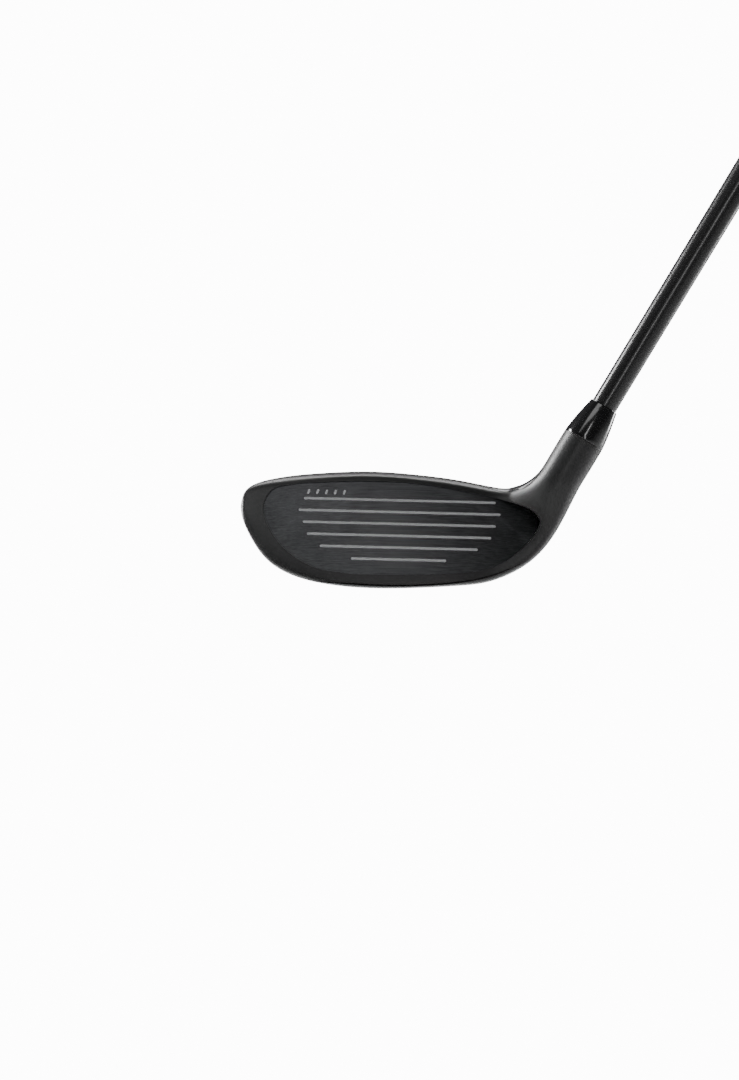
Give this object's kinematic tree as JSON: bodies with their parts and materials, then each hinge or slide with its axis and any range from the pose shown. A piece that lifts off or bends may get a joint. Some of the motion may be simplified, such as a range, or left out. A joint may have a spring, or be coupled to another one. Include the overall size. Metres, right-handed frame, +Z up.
{
  "type": "hybrid golf club",
  "caption": "Right-handed hybrid golf club: hollow steel head with a welded face plate, bonded crown panel, graphite shaft, rubber grip and a removable sole weight screw.",
  "frame": {"origin": "on the ground under the middle of the face, in the plane of the shaft's axis, with the club soled at its lie", "axes": "+Z up, -Y the way the face looks, +X towards the heel and the way that the shaft leans"},
  "size_m": [0.5992, 0.0639, 0.8776],
  "materials": {
    "satin_black_steel": "satin black over cast steel, fine bead-blast texture",
    "brushed_face": "dark brushed, grain from heel to toe",
    "score_paint": "light grey paint fill",
    "crown_black": "satin black with a fine even texture",
    "sole_grey": "mid grey satin",
    "adhesive": "cured adhesive",
    "brass_insert": "turned",
    "washer_nylon": "black nylon",
    "screw_steel": "black-oxide steel, turned",
    "tungsten": "sintered",
    "nylon_plug": "natural nylon",
    "ferrule_gloss": "polished black",
    "shaft_graphite": "black lacquer over graphite, soft gloss",
    "tape_paper": "paper tape",
    "grip_rubber": "matte black moulded rubber"
  },
  "bodies": {
    "club": {"head_body": "satin_black_steel", "face_plate": "brushed_face", "score_line_paint": "score_paint", "face_mark_paint": "score_paint", "crown_panel": "crown_black", "crown_bond": "adhesive", "sole_plate": "sole_grey", "weight_insert": "brass_insert", "toe_slug": "tungsten", "hot_melt_pad": "adhesive", "hosel_plug": "nylon_plug", "hosel_epoxy": "adhesive", "ferrule": "ferrule_gloss", "shaft": "shaft_graphite", "shaft_tip_weight": "brass_insert", "grip_tape": "tape_paper", "grip_sleeve": "grip_rubber", "grip_cap": "grip_rubber"},
    "weight_washer": {"weight_washer": "washer_nylon"},
    "weight_screw": {"weight_screw": "screw_steel"}
  },
  "joints": [
    {"name": "weight_lift", "type": "slide", "parent": "club", "child": "weight_washer", "axis": [0, 0.4067, -0.9135], "range_m": [0, 0.006]},
    {"name": "weight_screw_turn", "type": "hinge", "parent": "weight_washer", "child": "weight_screw", "pos_m": [-0.006, 0.0365, 0.0049], "axis": [0, 0.4067, -0.9135], "range_deg": [0, 2160]}
  ],
  "couplings": [
    {"joint": "weight_screw_turn", "follows": "weight_lift", "rad_per_m": 6283.2}
  ]
}
